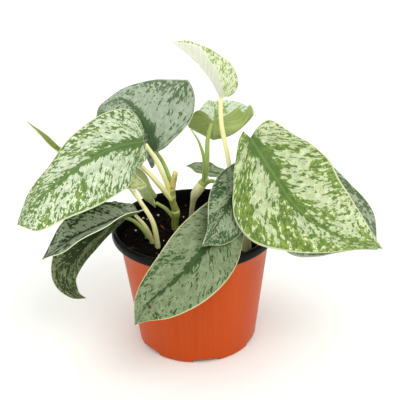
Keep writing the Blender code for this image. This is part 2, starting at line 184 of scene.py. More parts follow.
def side_veins(tree, along, waver, amount, ribs, width):
    """1 on a side vein and 0 between two. The lines waver a little, as grown ones do."""
    wobble = node(tree, "Math", {0: waver, 1: amount, 2: along}, operation="MULTIPLY_ADD")
    count = node(tree, "Math", {0: wobble, 1: float(ribs)}, operation="MULTIPLY")
    line = node(tree, "Math", {0: count, 1: 0.5}, operation="PINGPONG")
    return node(tree, "MapRange", {0: line, 1: width, 2: 0.0}, interpolation_type="SMOOTHSTEP")


def midrib_band(tree, veins, along, reach, band, seed):
    """The band's feathers, and how deep inside the band each place is. They follow the side
    veins, some 3 mm wide and up to 8 mm long, and the band narrows towards the tip."""
    space = node(tree, "Mapping", {0: veins, 1: (seed, 0, seed), 3: (4.0, 36, 1)})
    feather = node(tree, "TexNoise", {"Vector": space, "Scale": 1.0, "Detail": 4.0, "Roughness": 0.68})
    narrow = node(tree, "MapRange", {0: along, 1: 0.35, 2: 1.0, 3: band, 4: band - 0.10})
    width = node(tree, "Math", {0: feather, 1: 0.40, 2: narrow}, operation="MULTIPLY_ADD")
    return feather, node(tree, "Math", {0: width, 1: reach}, operation="SUBTRACT")


def silver_level(tree, veins, across, outer, beside, margin, uneven, seed):
    """How silver each place is, and the ragged pattern of the silver's edges."""
    # Patches, some 10 by 20 mm
    space = node(tree, "Mapping", {0: veins, 1: (3 + seed, 5, seed), 3: (1.7, 7.0, 1)})
    patches = node(tree, "TexNoise", {"Vector": space, "Scale": 1.0, "Detail": 4.0, "Roughness": 0.62,
                                      "Distortion": 0.3})
    # Ragged edges along the veins
    space = node(tree, "Mapping", {0: veins, 1: (9, seed, 2 + seed), 3: (8, 50, 1)})
    ragged = node(tree, "TexNoise", {"Vector": space, "Scale": 1.0, "Detail": 2.0, "Roughness": 0.6})
    level = node(tree, "Math", {0: ragged, 1: 0.3, 2: patches}, operation="MULTIPLY_ADD")
    for place, weight in ((outer, -margin), (across, uneven), (beside, -0.05)):
        level = node(tree, "Math", {0: place, 1: weight, 2: level}, operation="MULTIPLY_ADD")
    # The silver breaks up at its edges into cells, some 2 by 4 mm, that lie between the veins
    space = node(tree, "Mapping", {0: veins, 1: (seed, seed, 0), 3: (9, 44, 1)})
    space = node(tree, "VectorMath", {0: ragged.node.outputs[1], 1: (1.3, 1.3, 0), 2: space},
                 operation="MULTIPLY_ADD")
    cells = node(tree, "TexVoronoi", {"Vector": space, "Scale": 1.0}, feature="DISTANCE_TO_EDGE")
    cells = node(tree, "Math", {0: cells, 1: 0.14}, operation="SUBTRACT")
    return ragged, node(tree, "Math", {0: cells, 1: 0.34, 2: level}, operation="MULTIPLY_ADD")


def tone_clouds(tree, flat, seed):
    """Soft changes of tone, some 5 mm across, and painted glints: lighter specks under 1 mm."""
    space = node(tree, "Mapping", {0: flat, 1: (seed, seed, 0), 3: (22, 22, 22)})
    clouds = node(tree, "TexNoise", {"Vector": space, "Scale": 1.0, "Detail": 4.0, "Roughness": 0.65})
    clouds = node(tree, "MapRange", {0: clouds, 1: 0.35, 2: 0.65})
    space = node(tree, "Mapping", {0: flat, 1: (seed, 0, 0), 3: (150, 150, 150)})
    return clouds, node(tree, "TexNoise", {"Vector": space, "Scale": 1.0, "Detail": 1.0})


def satin_leaf(name, silver, bright, green, deep, band_colour, seed, rim="dfe9b8", patch=0.60,
               band=-0.07, fleck=0.60, speck=0.60, margin=0.06, uneven=0.0, ribs=RIBS,
               through=0.12, spot=None):
    """Living blade, upper side: air under its skin makes silver patches, ragged along the side
    veins, with a feathered green band down the midrib and a thin pale margin. The higher patch,
    fleck and speck are, the rarer are the silver, its green flecks and the green's pale specks."""
    mat, tree, shader = surface("satin_blade_upper_" + name, IOR=1.42, Specular_IOR_Level=0.3)
    veins, flat, across, along, reach = leaf_maps(tree)
    outer = node(tree, "Math", {0: reach, 1: 3.0}, operation="POWER")
    tip = node(tree, "Math", {0: along, 1: 6.0}, operation="POWER")
    outer = node(tree, "Math", {0: outer, 1: tip}, operation="MAXIMUM")
    feather, depth = midrib_band(tree, veins, along, reach, band, seed)
    in_band = node(tree, "MapRange", {0: depth, 1: -0.014, 2: 0.02}, interpolation_type="SMOOTHSTEP")
    core = node(tree, "MapRange", {0: depth, 1: 0.0, 2: 0.2}, interpolation_type="SMOOTHSTEP")
    beside = node(tree, "MapRange", {0: depth, 1: -0.10, 2: 0.0})
    ragged, level = silver_level(tree, veins, across, outer, beside, margin, uneven, seed)
    in_silver = node(tree, "MapRange", {0: level, 1: patch - 0.015, 2: patch + 0.015},
                     interpolation_type="SMOOTHSTEP")
    # Green flecks in the silver and pale specks in the green, some 2 by 4 mm, thicker at the margin
    space = node(tree, "Mapping", {0: veins, 1: (seed, 20, 4 + seed), 3: (7.5, 46, 1)})
    flecks = node(tree, "TexNoise", {"Vector": space, "Scale": 1.0, "Detail": 3.0, "Roughness": 0.6})
    marks = []
    for pattern, least in ((flecks, fleck), (ragged, speck)):
        thick = node(tree, "Math", {0: outer, 1: margin, 2: pattern}, operation="MULTIPLY_ADD")
        marks.append(node(tree, "MapRange", {0: thick, 1: least, 2: least + 0.03},
                          interpolation_type="SMOOTHSTEP"))
    in_fleck, in_speck = marks
    # Each colour is lighter in the clouds, towards the margin and towards the tip, and at the painted
    # glints, which are painted highlights on the skin
    clouds, painted_glints = tone_clouds(tree, flat, seed)
    lighter = clouds
    for place, weight in ((reach, 0.4), (along, 0.3), (painted_glints, 1.5)):
        lighter = node(tree, "Math", {0: place, 1: weight, 2: lighter}, operation="MULTIPLY_ADD")
    lighter = node(tree, "Math", {0: lighter, 1: 1.15}, operation="SUBTRACT", use_clamp=True)
    silvers = node(tree, "Mix", {0: lighter, 6: srgb(silver), 7: srgb(bright)}, 2, data_type="RGBA")
    greens = node(tree, "Mix", {0: lighter, 6: srgb(deep), 7: srgb(green)}, 2, data_type="RGBA")
    flecked = node(tree, "Mix", {0: 0.6, 6: greens, 7: srgb(deep)}, 2, data_type="RGBA")
    bands = node(tree, "Mix", {0: core, 6: flecked, 7: srgb(band_colour)}, 2, data_type="RGBA")
    # Side veins are fine lines, sunken and darkened a touch with painted shade, and the midrib is a
    # lighter line
    on_vein = side_veins(tree, along, clouds, 0.006, ribs, 0.06)
    shade = node(tree, "Math", {0: on_vein, 1: 0.14}, operation="MULTIPLY")
    rib = node(tree, "MapRange", {0: reach, 1: 0.012, 2: 0.028, 3: 0.3, 4: 0.0})
    layers = [(in_speck, srgb(bright)), (in_silver, silvers), (in_fleck, flecked), (in_band, bands),
              (shade, srgb(deep)), (rib, srgb(green))]
    # A brown sore, some 2 mm across, near the tip of one leaf
    if spot:
        off = node(tree, "VectorMath", {0: flat, 1: (*spot, 0)}, 1, operation="DISTANCE")
        sore = node(tree, "MapRange", {0: off, 1: 0.018, 2: 0.006})
        layers.append((sore, srgb("4a3618")))
    hem = node(tree, "MapRange", {0: reach, 1: 0.962, 2: 0.982})
    layers.append((hem, srgb(rim)))
    colour = greens
    for mask, tone in layers:
        colour = node(tree, "Mix", {0: mask, 6: colour, 7: tone}, 2, data_type="RGBA")
    gloss = node(tree, "MapRange", {0: in_silver, 3: 0.52, 4: 0.44})
    tree.links.new(gloss, shader.inputs["Roughness"])
    height = node(tree, "Math", {0: on_vein, 1: -0.6, 2: feather}, operation="MULTIPLY_ADD")
    add_colour_and_relief(tree, shader, colour, height, 0.35, 0.35)
    let_light_through(tree, shader, colour, through)
    return mat


def leaf_under(name, base, pale, seed):
    """Living blade, underside: dull olive, with the veins standing out paler."""
    mat, tree, shader = surface("satin_blade_under_" + name, IOR=1.42, Roughness=0.55)
    veins, flat, _, along, reach = leaf_maps(tree)
    # Soft clouds, some 10 mm across
    space = node(tree, "Mapping", {0: flat, 1: (seed, seed, 0), 3: (9, 9, 9)})
    clouds = node(tree, "TexNoise", {"Vector": space, "Scale": 1.0, "Detail": 4.0, "Roughness": 0.6})
    clouds = node(tree, "MapRange", {0: clouds, 1: 0.35, 2: 0.65, 3: 0.0, 4: 0.5})
    colour = node(tree, "Mix", {0: clouds, 6: srgb(base), 7: srgb(pale)}, 2, data_type="RGBA")
    space = node(tree, "Mapping", {0: veins, 1: (seed, 0, seed), 3: (5, 60, 1)})
    streaks = node(tree, "TexNoise", {"Vector": space, "Scale": 1.0, "Detail": 2.0})
    on_vein = side_veins(tree, along, streaks, 0.010, RIBS, 0.09)
    midrib = node(tree, "MapRange", {0: reach, 1: 0.02, 2: 0.05, 3: 1.0, 4: 0.0})
    raised = node(tree, "Math", {0: on_vein, 1: midrib}, operation="MAXIMUM")
    mask = node(tree, "Math", {0: raised, 1: 0.7}, operation="MULTIPLY")
    colour = node(tree, "Mix", {0: mask, 6: colour, 7: srgb(pale)}, 2, data_type="RGBA")
    height = node(tree, "Math", {0: streaks, 1: 0.3, 2: raised}, operation="MULTIPLY_ADD")
    add_colour_and_relief(tree, shader, colour, height, 0.6, 0.5)
    let_light_through(tree, shader, colour, 0.12)
    return mat


def leaf_rim(colour):
    """Thin edge of a blade: pale, horny and slightly uneven."""
    mat, tree, shader = surface("horny_blade_margin", IOR=1.42, Roughness=0.5)
    place = node(tree, "TexCoord", out=3)
    grain = node(tree, "TexNoise", {"Vector": place, "Scale": 300.0, "Detail": 1.0})
    tone = node(tree, "Mix", {0: grain, 6: srgb(colour), 7: srgb("f2f5da")}, 2, data_type="RGBA")
    tree.links.new(tone, shader.inputs["Base Color"])
    return mat


def living_stalk(name, low, high, streak, freckle=None, roughness=0.42):
    """Fleshy stalk: smooth satin skin with lengthwise streaks about 1 mm wide, in one colour at
    its foot and another from two thirds up. An old one is freckled."""
    mat, tree, shader = surface("fleshy_stalk_" + name, IOR=1.42, Roughness=roughness)
    length = node(tree, "UVMap", uv_map="length")
    share = node(tree, "SeparateXYZ", {0: length}, 1)
    colour = node(tree, "MapRange", {0: share, 1: 0.0, 2: 0.7})
    colour = node(tree, "Mix", {0: colour, 6: srgb(low), 7: srgb(high)}, 2, data_type="RGBA")
    space = node(tree, "Mapping", {0: length, 3: (2.2, 5, 1)})
    streaks = node(tree, "TexNoise", {"Vector": space, "Scale": 1.0, "Detail": 3.0, "Roughness": 0.7})
    mask = node(tree, "MapRange", {0: streaks, 1: 0.48, 2: 0.68, 3: 0.0, 4: 0.7})
    colour = node(tree, "Mix", {0: mask, 6: colour, 7: srgb(streak)}, 2, data_type="RGBA")
    place = node(tree, "TexCoord", out=3)
    dots = node(tree, "TexNoise", {"Vector": place, "Scale": 900.0, "Detail": 2.0, "Roughness": 0.6})
    if freckle:
        spots = node(tree, "TexNoise", {"Vector": place, "Scale": 320.0, "Detail": 3.0})
        spots = node(tree, "MapRange", {0: spots, 1: 0.56, 2: 0.66, 3: 0.0, 4: 0.85})
        colour = node(tree, "Mix", {0: spots, 6: colour, 7: srgb(freckle)}, 2, data_type="RGBA")
    height = node(tree, "Math", {0: dots, 1: 0.4, 2: streaks}, operation="MULTIPLY_ADD")
    add_colour_and_relief(tree, shader, colour, height, 0.4, 0.2)
    return mat


def formed_plastic(name, colour, worn, roughness, dust, glint):
    """Polystyrene sheet, drawn over a mould: satin, with faint upright drag lines and dust."""
    mat, tree, shader = surface(name, IOR=1.55, Specular_IOR_Level=glint)
    place = node(tree, "TexCoord", out=3)
    turn = node(tree, "SeparateXYZ", {0: place})
    angle = node(tree, "Math", {0: turn, 1: turn.node.outputs[1]}, operation="ARCTAN2")
    # Drag lines every 3 mm or so round the wall, long and upright
    space = node(tree, "CombineXYZ", {0: angle, 1: turn.node.outputs[2]})
    space = node(tree, "Mapping", {0: space, 3: (14, 9, 1)})
    drag = node(tree, "TexNoise", {"Vector": space, "Scale": 1.0, "Detail": 4.0, "Roughness": 0.6})
    tone = node(tree, "MapRange", {0: drag, 1: 0.35, 2: 0.65, 3: 0.0, 4: 0.55})
    tone = node(tree, "Mix", {0: tone, 6: srgb(colour), 7: srgb(worn)}, 2, data_type="RGBA")
    # Specks of dust, some 2 mm apart
    specks = node(tree, "TexNoise", {"Vector": place, "Scale": 420.0, "Detail": 3.0, "Roughness": 0.7})
    dusty = node(tree, "MapRange", {0: specks, 1: 0.60, 2: 0.74, 3: 0.0, 4: dust})
    tone = node(tree, "Mix", {0: dusty, 6: tone, 7: srgb("8a7a6a")}, 2, data_type="RGBA")
    gloss = node(tree, "MapRange", {0: drag, 1: 0.3, 2: 0.7, 3: roughness - 0.05, 4: roughness + 0.08})
    tree.links.new(gloss, shader.inputs["Roughness"])
    height = node(tree, "Math", {0: specks, 1: 0.15, 2: drag}, operation="MULTIPLY_ADD")
    add_colour_and_relief(tree, shader, tone, height, 0.25, 0.3)
    return mat


def granular(name, dark, light, size, roughness, contrast=0.5, depth=0.5):
    """Loose matter: dull, in two tones that change from grain to grain of a size in millimetres."""
    mat, tree, shader = surface(name, IOR=1.45, Roughness=roughness, Specular_IOR_Level=0.1)
    place = node(tree, "TexCoord", out=3)
    grains = node(tree, "TexNoise", {"Vector": place, "Scale": 500.0 / size, "Detail": 4.0,
                                     "Roughness": 0.7})
    mask = node(tree, "MapRange", {0: grains, 1: 0.5 - contrast / 4, 2: 0.5 + contrast / 3})
    colour = node(tree, "Mix", {0: mask, 6: srgb(dark), 7: srgb(light)}, 2, data_type="RGBA")
    add_colour_and_relief(tree, shader, colour, grains, 0.8, depth)
    return mat


def matt_paper():
    """White paper of the studio floor: matt, with grain too faint to see from here."""
    mat, tree, shader = surface("matt_white_paper", Roughness=0.9, Specular_IOR_Level=0.1)
    place = node(tree, "TexCoord", out=3)
    grain = node(tree, "TexNoise", {"Vector": place, "Scale": 60.0, "Detail": 3.0})
    paper = node(tree, "Mix", {0: grain, 6: srgb("f8fbf6"), 7: srgb("fafdf9")}, 2, data_type="RGBA")
    tree.links.new(paper, shader.inputs["Base Color"])
    return mat


# Shapes


def add_piece(name, bm, materials, replaces):
    """Turns a bmesh in millimetres into a piece in metres that rides on the plant."""
    bmesh.ops.scale(bm, vec=(MM, MM, MM), verts=bm.verts)
    mesh = bpy.data.meshes.new(name)
    bm.to_mesh(mesh)
    bm.free()
    mesh.shade_smooth()
    for mat in materials:
        mesh.materials.append(mat)
    piece = bpy.data.objects.new(name, mesh)
    bpy.context.collection.objects.link(piece)
    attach(piece, "root")
    if replaces:
        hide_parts(*replaces)
    return piece


def smooth_curve(points, shares):
    """Reads a smooth curve through the points at shares 0 to 1 of its length."""
    p = np.asarray(points, float)
    q = np.vstack([2 * p[0] - p[1], p, 2 * p[-1] - p[-2]])
    s = np.linspace(0, 1, 25)[:-1, None]
    pieces = [0.5 * (2 * b + (c - a) * s + (2 * a - 5 * b + 4 * c - d) * s ** 2
                     + (3 * b - a - 3 * c + d) * s ** 3)
              for a, b, c, d in zip(q[:-3], q[1:-2], q[2:-1], q[3:])]
    fine = np.vstack(pieces + [p[-1:]])
    run = np.concatenate([[0], np.cumsum(np.linalg.norm(np.diff(fine, axis=0), axis=1))])
    read = np.asarray(shares) * run[-1]
    return np.stack([np.interp(read, run, column) for column in fine.T], -1), run[-1]


def unit(v):
    """Rows of vectors, each brought to length 1."""
    return v / np.linalg.norm(v, axis=-1, keepdims=True)


def interpolate(x, along, values):
    """Vectors read at x, between those given at the stations along."""
    return np.stack([np.interp(x, along, column) for column in values.T], -1)


def half_outline(length, half, lobe, tip):
    """One half of a flat leaf, from the notch at the stalk round the lobe to the tip."""
    points = [(-0.75 * lobe, 0.28 * half[0]), (-lobe, 0.62 * half[0]), (-0.55 * lobe, 0.9 * half[0])]
    points += [(share * length, width) for share, width in zip(STATIONS, half[1:])]
    points += [(0.93 * length, tip * half[-1]), (length, 0)]
    return points


def blade_points(share, across, spine, face, right, left, lobe, roll=0, twist=0, fold=(0, 0),
                 curl=(0, 0), ease=0, tip=0.32):
    """Points of a blade at side-vein shares and signed shares across, and the flat leaf's. A half
    folds up from the midrib and curls across its width, less towards the tip where they ease."""
    along_shares = np.linspace(0, 1, 121)
    centre, length = smooth_curve(spine, along_shares)
    along = along_shares * length
    tangent = unit(np.gradient(centre, axis=0))
    face = np.asarray(face, float)
    normal = unit(face - tangent * (tangent @ face)[:, None])
    side = np.cross(normal, tangent)
    turn = np.radians(roll + twist * along_shares)[:, None]
    normal, side = (normal * np.cos(turn) - side * np.sin(turn),
                    side * np.cos(turn) + normal * np.sin(turn))
    start = length * np.clip((share - FAN) / (1 - FAN), 0, 1) ** LEAN
    points = np.zeros((len(share), 3))
    flat = np.zeros((len(share), 2))
    for which, (sign, half) in enumerate(((-1, right), (1, left))):
        mine = across * sign >= 0
        s, v = share[mine], np.abs(across[mine])
        plain, _ = smooth_curve(half_outline(length, half, lobe[which], tip),
                                np.linspace(0, 1, COARSE_ROWS + 1) ** EDGE_PACE)
        edge, _ = smooth_curve(plain, s ** EDGE_PACE)
        tilt = math.radians(fold[which]) * (1 - ease * s)
        bend = math.radians(curl[which] + TINY) / max(half) * (1 - ease * s)
        bend = np.where(np.abs(bend) < LEAST_BEND, LEAST_BEND, bend)
        x = start[mine] + (edge[:, 0] - start[mine]) * v + BOW * edge[:, 1] * v * (1 - v)
        y = edge[:, 1] * v
        out = (np.sin(tilt + bend * y) - np.sin(tilt)) / bend
        lift = (np.cos(tilt) - np.cos(tilt + bend * y)) / bend
        on = np.clip(x, 0, length)
        t, n, b = (unit(interpolate(on, along, a)) for a in (tangent, normal, side))
        points[mine] = (interpolate(on, along, centre) + t * (x - on)[:, None]
                        + b * (sign * out)[:, None] + n * lift[:, None])
        flat[mine] = np.stack([x, sign * y], -1) / FLAT_UNIT
    return points, flat


def make_leaf(name, sizes, materials):
    """A blade with a sunken midrib, slightly quilted and waved, closed round a thin margin."""
    bm = bmesh.new()
    veins = bm.loops.layers.uv.new("veins")
    plan = bm.loops.layers.uv.new("flat")
    bmesh.ops.create_grid(bm, x_segments=2 * COLUMNS, y_segments=ROWS, size=1)
    place = np.array([v.co for v in bm.verts])
    across, share = place[:, 0], (place[:, 1] + 1) / 2
    points, flat = blade_points(share, across, **sizes)
    for v, point in zip(bm.verts, points):
        v.co = point
    for f in bm.faces:
        for loop in f.loops:
            k = loop.vert.index
            loop[veins].uv = (across[k], share[k])
            loop[plan].uv = flat[k]
    bmesh.ops.reverse_faces(bm, faces=bm.faces)
    bm.normal_update()
    middle = [v.normal.copy() for v in bm.verts]
    away = flat[:, 1] * FLAT_UNIT
    reach = np.abs(across)
    groove = -GROOVE_DEPTH * np.exp(-(away / GROOVE_WIDTH) ** 2) * (share > 0.2)
    quilt = QUILT * np.cos(math.tau * RIBS * share) * np.clip(reach * 4, 0, 1) * (1 - reach ** 6)
    phase = 1.7 * np.sign(across) + 5 * sizes.get("roll", 0)
    waves = WAVE * reach ** 3 * np.sin(math.tau * WAVES * share + phase)
    swell = groove + (quilt + waves) * (1 - share ** 8)
    for v, normal, rise in zip(bm.verts, middle, swell):
        v.co += normal * (rise + BLADE / 2)
    bmesh.ops.remove_doubles(bm, verts=bm.verts, dist=0.02)
    bm.normal_update()
    upper = bm.faces[:]
    down = {v.co.to_tuple(4): v.normal * -BLADE for v in bm.verts}
    made = bmesh.ops.extrude_face_region(bm, geom=upper, use_keep_orig=True)["geom"]
    lower = {g for g in made if isinstance(g, bmesh.types.BMVert)}
    for v in lower:
        v.co += down[v.co.to_tuple(4)]
    upper = set(upper)
    for f in bm.faces:
        if f not in upper:
            f.material_index = 1 if all(v in lower for v in f.verts) else 2
    bmesh.ops.recalc_face_normals(bm, faces=bm.faces)
    add_piece(name.replace("leaf", "blade"), bm, materials, [name])


def sweep(bm, route, radii, finish, rings=STALK_RINGS, extend=JOIN, bands=()):
    """Fleshy stalk along a smooth route: a circle is extruded from ring to ring."""
    layer = bm.loops.layers.uv["length"]
    shares = np.linspace(0, 1, rings)
    points, _ = smooth_curve(route, shares)
    thick = np.interp(shares, np.linspace(0, 1, len(radii)), radii)
    heading = unit(np.gradient(points, axis=0))
    points[-1] += heading[-1] * extend
    reference = Vector((1, 0, 0))
    verts = bmesh.ops.create_circle(bm, cap_ends=False, segments=STALK_SIDES, radius=1)["verts"]
    edges = list({e for v in verts for e in v.link_edges})
    first = verts
    note = {}
    last_stand = Matrix.Identity(4)
    for k, (centre, direction, radius) in enumerate(zip(points, heading, thick)):
        d = Vector(direction)
        reference = (reference - d * reference.dot(d)).normalized()
        other = d.cross(reference)
        if k:
            grown = bmesh.ops.extrude_edge_only(bm, edges=edges)["geom"]
            verts = [g for g in grown if isinstance(g, bmesh.types.BMVert)]
            edges = [g for g in grown if isinstance(g, bmesh.types.BMEdge)
                     and all(v in verts for v in g.verts)]
        stand = Matrix.Translation(Vector(centre)) @ Matrix(
            (reference, other, d)).transposed().to_4x4() @ Matrix.Scale(radius, 4)
        bmesh.ops.transform(bm, matrix=stand @ last_stand.inverted(), verts=verts)
        last_stand = stand
        back = stand.inverted()
        for v in verts:
            note[v] = ((back @ v.co).x, shares[k])
    caps = []
    for ring in (first, verts):
        own = [e for e in {e for v in ring for e in v.link_edges} if all(v in ring for v in e.verts)]
        caps += bmesh.ops.edgeloop_fill(bm, edges=own)["faces"]
    faces = {f for v in note for f in v.link_faces}
    for f in faces:
        middle = sum(note[v][1] for v in f.verts) / len(f.verts)
        f.material_index = next((tone for low, high, tone in bands if low <= middle <= high), finish)
        for loop in f.loops:
            loop[layer].uv = note[loop.vert]
    bmesh.ops.poke(bm, faces=caps)


def make_vine(name, parts, finishes):
    """One vine stem and the leaf stalks that grow from it, or a stalk that rises from the peat."""
    bm = bmesh.new()
    bm.loops.layers.uv.new("length")
    for part in parts:
        sweep(bm, **part)
    bmesh.ops.recalc_face_normals(bm, faces=bm.faces)
    piece = name.replace("stem", "vine").replace("stalk", "petiole")
    add_piece(piece, bm, finishes, [name])


def turned(profile, steps):
    """Closed body of revolution from a profile that starts and ends on the axis."""
    bm = bmesh.new()
    verts = [bm.verts.new((r, 0, z)) for r, z in profile]
    edges = [bm.edges.new(pair) for pair in zip(verts, verts[1:])]
    bmesh.ops.spin(bm, geom=verts + edges, cent=(0, 0, 0), axis=(0, 0, 1), steps=steps,
                   angle=math.tau, use_merge=True)
    bmesh.ops.remove_doubles(bm, verts=bm.verts, dist=1e-3)
    bmesh.ops.recalc_face_normals(bm, faces=bm.faces)
    return bm


def make_pot(orange, black):
    """Formed pot: orange outside up to its rim, black inside and over the rolled rim."""
    foot = FOOT_RADIUS - 1.4
    inner = foot - 3.0
    floor = FLOOR_UNDERSIDE + WALL
    underside = [(0, 0), (PAD_RADIUS - 0.6, 0), (PAD_RADIUS, 0.25), (PAD_RADIUS + 0.8, FLOOR_UNDERSIDE)]
    underside += [(r, FLOOR_UNDERSIDE - FLOOR_RIB_DEPTH * (k % 2)) for k, r in enumerate(FLOOR_RIBS)]
    underside += [(inner, FLOOR_UNDERSIDE), (inner + 0.8, 0.2), (inner + 1.0, 0), (foot, 0)]
    outside = [(FOOT_RADIUS - 0.6, 0.35), (FOOT_RADIUS - 0.2, 0.9), (FOOT_RADIUS, FOOT_CURVE)]
    outside += [(FOOT_RADIUS + SLOPE * h, FOOT_CURVE + h)
                for h in np.linspace(2, NECK_HEIGHT - 8, WALL_RINGS)]
    outside += [(NECK_RADIUS - 0.3, NECK_HEIGHT - 2.5), (NECK_RADIUS + 0.15, NECK_HEIGHT),
                (NECK_RADIUS + 0.6, NECK_HEIGHT + 2), (NECK_RADIUS + 1.2, NECK_HEIGHT + 4),
                (NECK_RADIUS + 1.95, NECK_HEIGHT + 6.3), (SHOULDER_RADIUS, LIP - 0.7)]
    rim = [(SHOULDER_RADIUS + 0.5, LIP - 0.5), (RIM_RADIUS - 1.4, LIP - 0.4),
           (RIM_RADIUS - 0.7, LIP - 0.1), (RIM_RADIUS - 0.2, LIP + 0.5), (RIM_RADIUS, LIP + 1.2),
           (RIM_RADIUS, RIM_HEIGHT - 1.9), (RIM_RADIUS - 0.25, RIM_HEIGHT - 0.9),
           (RIM_RADIUS - 0.9, RIM_HEIGHT - 0.2), (RIM_RADIUS - 1.7, RIM_HEIGHT),
           (RIM_RADIUS - 2.5, RIM_HEIGHT - 0.3), (RIM_RADIUS - 3.1, RIM_HEIGHT - 1.1),
           (SHOULDER_RADIUS - WALL + 0.9, RIM_HEIGHT - RIM_DEPTH / 2)]
    inside = [(SHOULDER_RADIUS - WALL + 0.2, LIP + 0.4), (SHOULDER_RADIUS - WALL, LIP - 1),
              (NECK_RADIUS - WALL + 1.2, NECK_HEIGHT + 4), (NECK_RADIUS - WALL, NECK_HEIGHT),
              (FOOT_RADIUS - WALL + SLOPE * (floor - FOOT_CURVE), floor), (0, floor)]
    bm = turned(underside + outside + rim + inside, POT_STEPS)
    for f in bm.faces:
        c = f.calc_center_median()
        r = math.hypot(c.x, c.y)
        facing_out = f.normal.x * c.x + f.normal.y * c.y > 0.2 * r
        outer = c.z < FLOOR_UNDERSIDE + 0.2 or (facing_out and c.z < LIP - 0.6)
        f.material_index = 0 if outer else 1
    pot = add_piece("formed_pot", bm, [orange, black], ["pot"])
    cutters = bmesh.new()
    for k in range(NOTCHES):
        turn = math.radians(NOTCH_TURN + 360 / NOTCHES * k)
        hole = math.radians(NOTCH_TURN + 360 / NOTCHES * (k + 0.5))
        box = bmesh.ops.create_cube(cutters, size=1)["verts"]
        bmesh.ops.scale(cutters, vec=(CUTTER_LENGTH, NOTCH_WIDTH, 2 * NOTCH_HEIGHT), verts=box)
        upright = [e for e in {e for v in box for e in v.link_edges}
                   if abs(e.verts[0].co.y - e.verts[1].co.y) < 0.01
                   and abs(e.verts[0].co.z - e.verts[1].co.z) < 0.01 and e.verts[0].co.z > 0]
        round_off = bmesh.ops.bevel(cutters, geom=upright, offset=NOTCH_CORNER, offset_type="OFFSET",
                                    segments=4, profile=0.5, affect="EDGES", material=-1)
        whole = list({v for f in round_off["faces"] for v in f.verts} | {v for v in box if v.is_valid})
        bmesh.ops.translate(cutters, vec=(FOOT_RADIUS, 0, 0), verts=whole)
        bmesh.ops.rotate(cutters, cent=(0, 0, 0), matrix=Matrix.Rotation(turn, 3, "Z"), verts=whole)
        drain = bmesh.ops.create_cone(cutters, cap_ends=True, segments=32, radius1=DRAIN_RADIUS,
                                      radius2=DRAIN_RADIUS, depth=CUTTER_LENGTH)["verts"]
        middle = (DRAIN_CIRCLE * math.cos(hole), DRAIN_CIRCLE * math.sin(hole), FLOOR_UNDERSIDE)
        bmesh.ops.translate(cutters, vec=middle, verts=drain)
    bmesh.ops.scale(cutters, vec=(MM, MM, MM), verts=cutters.verts)
    mesh = bpy.data.meshes.new("notch_and_drain_cutters")
    cutters.to_mesh(mesh)
    cutters.free()
    tool = bpy.data.objects.new("notch_and_drain_cutters", mesh)
    bpy.context.collection.objects.link(tool)
    step = pot.modifiers.new("notches_and_drains", "BOOLEAN")
    step.operation = "DIFFERENCE"
    step.solver = "EXACT"
    step.object = tool
    bpy.context.view_layer.update()
    cut = bpy.data.meshes.new_from_object(pot.evaluated_get(bpy.context.evaluated_depsgraph_get()))
    pot.modifiers.clear()
    pot.data = cut
    bpy.data.objects.remove(tool, do_unlink=True)
    cut.shade_smooth()
    cut.set_sharp_from_angle(angle=math.radians(SHARP_ANGLE))


def crumb_height(x, y):
    """Peat's surface: soft humps, clods of about 4 mm and crumbs of about 1.5 mm."""
    humps = math.sin(x * 0.21 + 1.0) * math.cos(y * 0.17) + 0.6 * math.sin(x * 0.09 - y * 0.33)
    clods = noise.noise(Vector((x * 0.25, y * 0.25, 3.1)))
    near = noise.voronoi(Vector((x * 0.62, y * 0.62, 0.4)))[0][0]
    fine = noise.fractal(Vector((x * 0.9, y * 0.9, 7.7)), 0.8, 2.1, 4)
    return humps * 0.9 + 1.3 * clods - 0.9 * near + 0.55 * fine


def make_soil(peat):
    """Peat that fills the pot, with a crumbly top."""
    shoulder = (SHOULDER_RADIUS - NECK_RADIUS) / (LIP - NECK_HEIGHT)
    bottom = FLOOR_UNDERSIDE + WALL + UNDER_SOIL
    inside = NECK_RADIUS - WALL - BESIDE_SOIL
    low = inside - SLOPE * (NECK_HEIGHT - bottom)
    high = inside + shoulder * (SOIL_LEVEL - NECK_HEIGHT) - 0.1
    profile = [(0, bottom), (low - 1, bottom), (low, bottom + 1), (inside, NECK_HEIGHT),
               (high, SOIL_LEVEL)]
    profile += [(high * (1 - (k + 1) / SOIL_RINGS), SOIL_LEVEL) for k in range(SOIL_RINGS)]
    bm = turned(profile, SOIL_STEPS)
    for v in bm.verts:
        if v.co.z > SOIL_LEVEL - 0.3:
            r = math.hypot(v.co.x, v.co.y)
            v.co.z += crumb_height(v.co.x, v.co.y) * (1 - (r / (high + 0.5)) ** 30)
    add_piece("peat_fill", bm, [peat], ["soil"])


